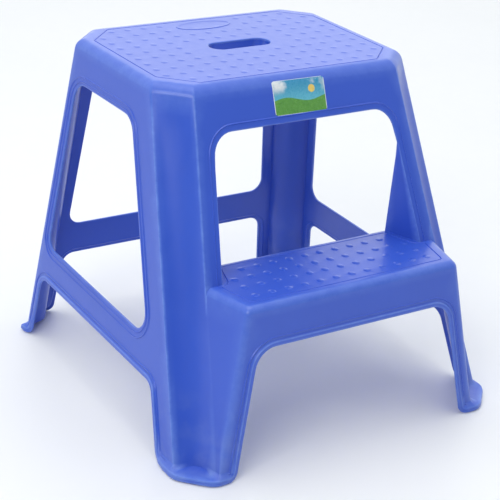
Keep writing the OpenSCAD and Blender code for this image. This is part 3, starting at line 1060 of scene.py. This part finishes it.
def front_profile():
    """(length, y, z) up the front wall and over the deck's rounded edge; length 0 is where it starts."""
    rows = [(WALL_TOP - 60.0, 0.0), *DECK_EDGE]
    places = [vec(front_y(z) + inset, z) for z, inset in rows]
    lengths = np.cumsum([0, *(np.linalg.norm(b - a) for a, b in zip(places, places[1:]))])
    lengths -= lengths[1]
    return lengths, np.array(places)


def label_place(u, s, lift):
    """Where the label's point u across and s up from its middle lies, lifted off the wall."""
    lengths, places = front_profile()
    sine, cosine = math.sin(LABEL_TILT), math.cos(LABEL_TILT)
    across, length = u * cosine - s * sine, LABEL_UP - LABEL_L / 2 + (u * sine + s * cosine)
    near = [vec(*(np.interp(length + e, lengths, places[:, k]) for k in (0, 1))) for e in (-1.5, 0, 1.5)]
    along = unit(near[2] - near[0])
    y, z = near[1] + vec(-along[1], along[0]) * lift
    return vec(LABEL_X + across, y, z)


def product_label(material):
    """A film with rounded corners that follows the wall and the deck's edge."""
    rows = []
    steps = 30
    for j in range(steps + 1):
        s = mix(-LABEL_L / 2, LABEL_L / 2, j / steps)
        gap = min(LABEL_L / 2 - abs(s), LABEL_R)
        half = LABEL_W / 2 - LABEL_R + math.sqrt(LABEL_R ** 2 - (LABEL_R - gap) ** 2)
        us = [mix(-half, half, i / 40) for i in range(41)]
        rows.append([(label_place(u, s, LABEL_T), (u / LABEL_W + 0.5, s / LABEL_L + 0.5)) for u in us])
    points = [p for row in rows for p, _ in row]
    uvs = [uv for row in rows for _, uv in row]
    width = len(rows[0])
    faces = [[j * width + i, j * width + i + 1, (j + 1) * width + i + 1, (j + 1) * width + i]
             for j in range(steps) for i in range(width - 1)]
    rim = list(range(width))
    rim += [j * width + width - 1 for j in range(1, steps + 1)]
    rim += [steps * width + i for i in reversed(range(width - 1))]
    rim += [j * width for j in reversed(range(1, steps))]
    first = len(points)
    for i in rim:
        u, s = (uvs[i][0] - 0.5) * LABEL_W, (uvs[i][1] - 0.5) * LABEL_L
        points.append(label_place(u * 1.001, s * 1.001, -0.15))
    n = len(rim)
    faces += [[rim[(k + 1) % n], rim[k], first + k, first + (k + 1) % n] for k in range(n)]
    faces.append([first + k for k in reversed(range(n))])
    uvs += [uvs[i] for i in rim]
    piece = mesh_object("product_label", points, faces, material)
    layer = piece.data.uv_layers.new(name="print")
    for loop in piece.data.loops:
        layer.data[loop.index].uv = uvs[loop.vertex_index]
    return piece


# -------- materials
class Nodes:
    """A short way to write the node tree of a material or a world."""

    def __init__(self, owner):
        owner.use_nodes = True
        self.owner = owner
        self.tree = owner.node_tree
        self.tree.nodes.clear()

    def add(self, kind, **settings):
        node = self.tree.nodes.new(kind)
        for key, value in settings.items():
            setattr(node, key, value)
        return node

    def wire(self, node, **inputs):
        """Sets inputs by name, with _ for a space, or by number, as in i0. A value is a number, a colour
        or another node's output."""
        for key, value in inputs.items():
            by_number = key[0] == "i" and key[1:].isdigit()
            socket = node.inputs[int(key[1:]) if by_number else key.replace("_", " ")]
            if isinstance(value, bpy.types.NodeSocket):
                self.tree.links.new(value, socket)
            else:
                socket.default_value = value
        return node

    def noise(self, scale, detail=3.0, roughness=0.5, coords=None):
        node = self.add("ShaderNodeTexNoise")
        self.wire(node, Vector=coords or self.coords(), Scale=scale, Detail=detail, Roughness=roughness)
        return node.outputs["Fac"]

    def coords(self):
        return self.add("ShaderNodeTexCoord").outputs["Object"]

    def math(self, operation, a, b=0.0, clamp=False):
        node = self.add("ShaderNodeMath", operation=operation, use_clamp=clamp)
        return self.wire(node, i0=a, i1=b).outputs[0]

    def between(self, value, low, high, to_low=0.0, to_high=1.0):
        node = self.add("ShaderNodeMapRange", clamp=True)
        self.wire(node, Value=value, From_Min=low, From_Max=high, To_Min=to_low, To_Max=to_high)
        return node.outputs["Result"]

    def blend(self, factor, a, b):
        node = self.add("ShaderNodeMix", data_type="RGBA")
        self.wire(node, i0=factor, i6=a, i7=b)
        return node.outputs[2]

    def bump(self, height, distance, strength=1.0, normal=None):
        node = self.add("ShaderNodeBump")
        self.wire(node, Height=height, Distance=distance, Strength=strength)
        if normal:
            self.wire(node, Normal=normal)
        return node.outputs["Normal"]

    def finish(self, **inputs):
        shader = self.wire(self.add("ShaderNodeBsdfPrincipled"), **inputs)
        self.wire(self.add("ShaderNodeOutputMaterial"), Surface=shader.outputs[0])
        return self.owner


BLUE = (0.040, 0.112, 0.640, 1)
BLUE_DEEP = (0.036, 0.102, 0.600, 1)
# A paler blue painted on convex edges and ridges as highlight.
BLUE_PAINTED_HIGHLIGHT = (0.190, 0.330, 0.840, 1)
BLUE_DUST = (0.250, 0.330, 0.640, 1)


def moulding_material():
    """Glossy polypropylene: orange peel, slight unevenness, painted highlight that lightens convex edges and
    ridges, a little dust low down.
    """
    n = Nodes(bpy.data.materials.new("moulding"))
    colour = n.blend(n.between(n.noise(7.0, 4.0), 0.3, 0.7), BLUE_DEEP, BLUE)
    painted_highlight = n.add("ShaderNodeAttribute", attribute_name="painted_highlight").outputs["Fac"]
    # Painted highlight: the colour goes toward the paler blue on convex edges and ridges, patchy by noise.
    painted_highlight_share = n.math("MULTIPLY", painted_highlight, n.between(n.noise(60.0, 5.0, 0.7), 0.25, 0.75, 0.25, 0.9))
    colour = n.blend(painted_highlight_share, colour, BLUE_PAINTED_HIGHLIGHT)
    height = n.wire(n.add("ShaderNodeSeparateXYZ"), Vector=n.coords()).outputs[2]
    low = n.between(height, 0.0, 0.10, 1.0, 0.0)
    dust = n.math("MULTIPLY", low, n.between(n.noise(38.0, 3.0), 0.45, 0.8, 0.0, 0.35))
    colour = n.blend(dust, colour, BLUE_DUST)
    scuff = n.between(n.noise(110.0, 2.0), 0.3, 0.7, 0.28, 0.34)
    scuff = n.math("ADD", scuff, n.math("MULTIPLY", dust, 0.5))
    normal = n.bump(n.noise(240.0, 2.0), 0.0001, 0.4)
    normal = n.bump(n.noise(14.0, 2.0), 0.0004, 0.15, normal)
    return n.finish(Base_Color=colour, Roughness=scuff, Normal=normal, IOR=1.49,
                    Coat_Weight=0.15, Coat_Roughness=0.2)


SKY, SKY_PALE = (0.03, 0.27, 0.50, 1), (0.14, 0.52, 0.66, 1)
GRASS, GRASS_DEEP = (0.16, 0.42, 0.08, 1), (0.07, 0.26, 0.05, 1)
PAPER = (0.80, 0.84, 0.86, 1)
SUN = (0.85, 0.62, 0.16, 1)


def label_material():
    """A plain picture label: a sun and clouds over green hills, with no lettering."""
    n = Nodes(bpy.data.materials.new("label"))
    uv = n.add("ShaderNodeUVMap", uv_map="print").outputs["UV"]
    split = n.wire(n.add("ShaderNodeSeparateXYZ"), Vector=uv)
    u, v = split.outputs[0], split.outputs[1]
    sky = n.blend(n.between(v, 0.35, 1.0), SKY_PALE, SKY)
    hill = n.math("ADD", n.math("MULTIPLY", n.math("SINE", n.math("MULTIPLY", u, 7.0)), 0.07), 0.42)
    grass = n.blend(n.noise(220.0, 4.0, 0.6), GRASS_DEEP, GRASS)
    land = n.between(n.math("SUBTRACT", v, hill), -0.012, 0.012, 1.0, 0.0)
    colour = n.blend(land, sky, grass)
    across = n.math("MULTIPLY", n.math("SUBTRACT", u, 0.74), LABEL_W / LABEL_L)
    up = n.math("SUBTRACT", v, 0.68)
    far = n.math("SQRT", n.math("ADD", n.math("MULTIPLY", across, across), n.math("MULTIPLY", up, up)))
    colour = n.blend(n.between(far, 0.105, 0.125, 1.0, 0.0), colour, SUN)
    cloud = n.math("MULTIPLY", n.between(n.noise(34.0, 4.0, 0.55), 0.52, 0.66), n.between(v, 0.55, 0.8))
    colour = n.blend(cloud, colour, PAPER)
    edge = n.math("MAXIMUM", n.math("ABSOLUTE", n.math("SUBTRACT", u, 0.5)),
                  n.math("ABSOLUTE", n.math("SUBTRACT", v, 0.5)))
    colour = n.blend(n.between(edge, 0.488, 0.492), colour, PAPER)
    rough = n.between(n.noise(300.0, 4.0), 0.3, 0.7, 0.22, 0.34)
    return n.finish(Base_Color=colour, Roughness=rough, Normal=n.bump(n.noise(500.0, 3.0), 0.00004, 0.5))


def floor_material():
    n = Nodes(bpy.data.materials.new("floor"))
    colour = n.blend(n.noise(3.0, 4.0), (0.86, 0.865, 0.875, 1), (0.90, 0.90, 0.905, 1))
    return n.finish(Base_Color=colour, Roughness=n.between(n.noise(40.0, 3.0), 0.3, 0.7, 0.45, 0.6),
                    Normal=n.bump(n.noise(400.0, 3.0), 0.0001, 0.3))


# -------- pieces
blue = moulding_material()
body = moulded_body(blue)
ribs = underside_ribs(blue)
label = product_label(label_material())

RIB_NODES = ("deck_ribs", "hand_slot_rim", "step_ribs")
for piece, slot_name in ((body, "moulding"), (ribs, "moulding"), (label, "label")):
    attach(piece, "root")
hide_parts(*(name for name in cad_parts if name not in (*RIB_NODES, "product_label")))
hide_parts(*RIB_NODES)
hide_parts("product_label")


# -------- floor, light and camera
def floor():
    """A round pale floor."""
    count, radius = 96, 9.0
    angles = [2 * math.pi * k / count for k in range(count)]
    ring = [(radius * math.cos(a), radius * math.sin(a), 0) for a in angles]
    mesh = bpy.data.meshes.new("floor")
    mesh.from_pydata(ring, [], [list(range(count))])
    mesh.materials.append(floor_material())
    plane = bpy.data.objects.new("floor", mesh)
    bpy.context.collection.objects.link(plane)
    return plane


floor()


def softbox(name, place, target, size, power):
    lamp = bpy.data.lights.new(name, "AREA")
    lamp.shape, lamp.size, lamp.energy = "SQUARE", size, power
    lamp_object = bpy.data.objects.new(name, lamp)
    lamp_object.location = place
    lamp_object.rotation_euler = (Vector(target) - Vector(place)).to_track_quat("-Z", "Y").to_euler()
    bpy.context.collection.objects.link(lamp_object)


softbox("key", (-1.85, -1.2, 1.9), (0, 0, 0.2), 1.4, 24)
softbox("top", (-0.2, 0.2, 2.8), (0, 0, 0.2), 2.0, 17)
softbox("back", (2.1, 3.2, 2.2), (0, 0, 0.3), 3.0, 17)

BRIGHT_SIDE = (0.45, 0.75, 0.48)


def studio():
    """A studio that is bright behind the object and above it, and dim in front."""
    n = Nodes(bpy.data.worlds.new("studio"))
    toward = n.add("ShaderNodeVectorMath", operation="DOT_PRODUCT")
    n.wire(toward, i0=n.add("ShaderNodeTexCoord").outputs["Generated"], i1=BRIGHT_SIDE)
    glow = n.between(toward.outputs["Value"], -0.55, 0.55, 0.12, 1.09)
    background = n.wire(n.add("ShaderNodeBackground"), Color=(0.93, 0.97, 1.0, 1), Strength=glow)
    n.wire(n.add("ShaderNodeOutputWorld"), Surface=background.outputs[0])
    return n.owner


bpy.context.scene.world = studio()
bpy.context.scene.view_settings.view_transform = "Standard"

CAMERA_PLACE = (-0.9180, -1.3679, 0.8909)
YAW, PITCH, ROLL = (math.radians(a) for a in (33.72, 24.15, 3.65))
LENS = 105.43
SENSOR = 36.0

camera = bpy.data.objects.new("camera", bpy.data.cameras.new("camera"))
camera.data.lens = LENS
camera.data.sensor_width = SENSOR
ahead = Vector((math.sin(YAW) * math.cos(PITCH), math.cos(YAW) * math.cos(PITCH), -math.sin(PITCH)))
level = Vector((math.cos(YAW), -math.sin(YAW), 0))
above = level.cross(ahead)
right = level * math.cos(ROLL) + above * math.sin(ROLL)
up = above * math.cos(ROLL) - level * math.sin(ROLL)
camera.matrix_world = Matrix.Translation(CAMERA_PLACE) @ Matrix((right, up, -ahead)).transposed().to_4x4()
bpy.context.collection.objects.link(camera)
bpy.context.scene.camera = camera

bpy.context.view_layer.update()
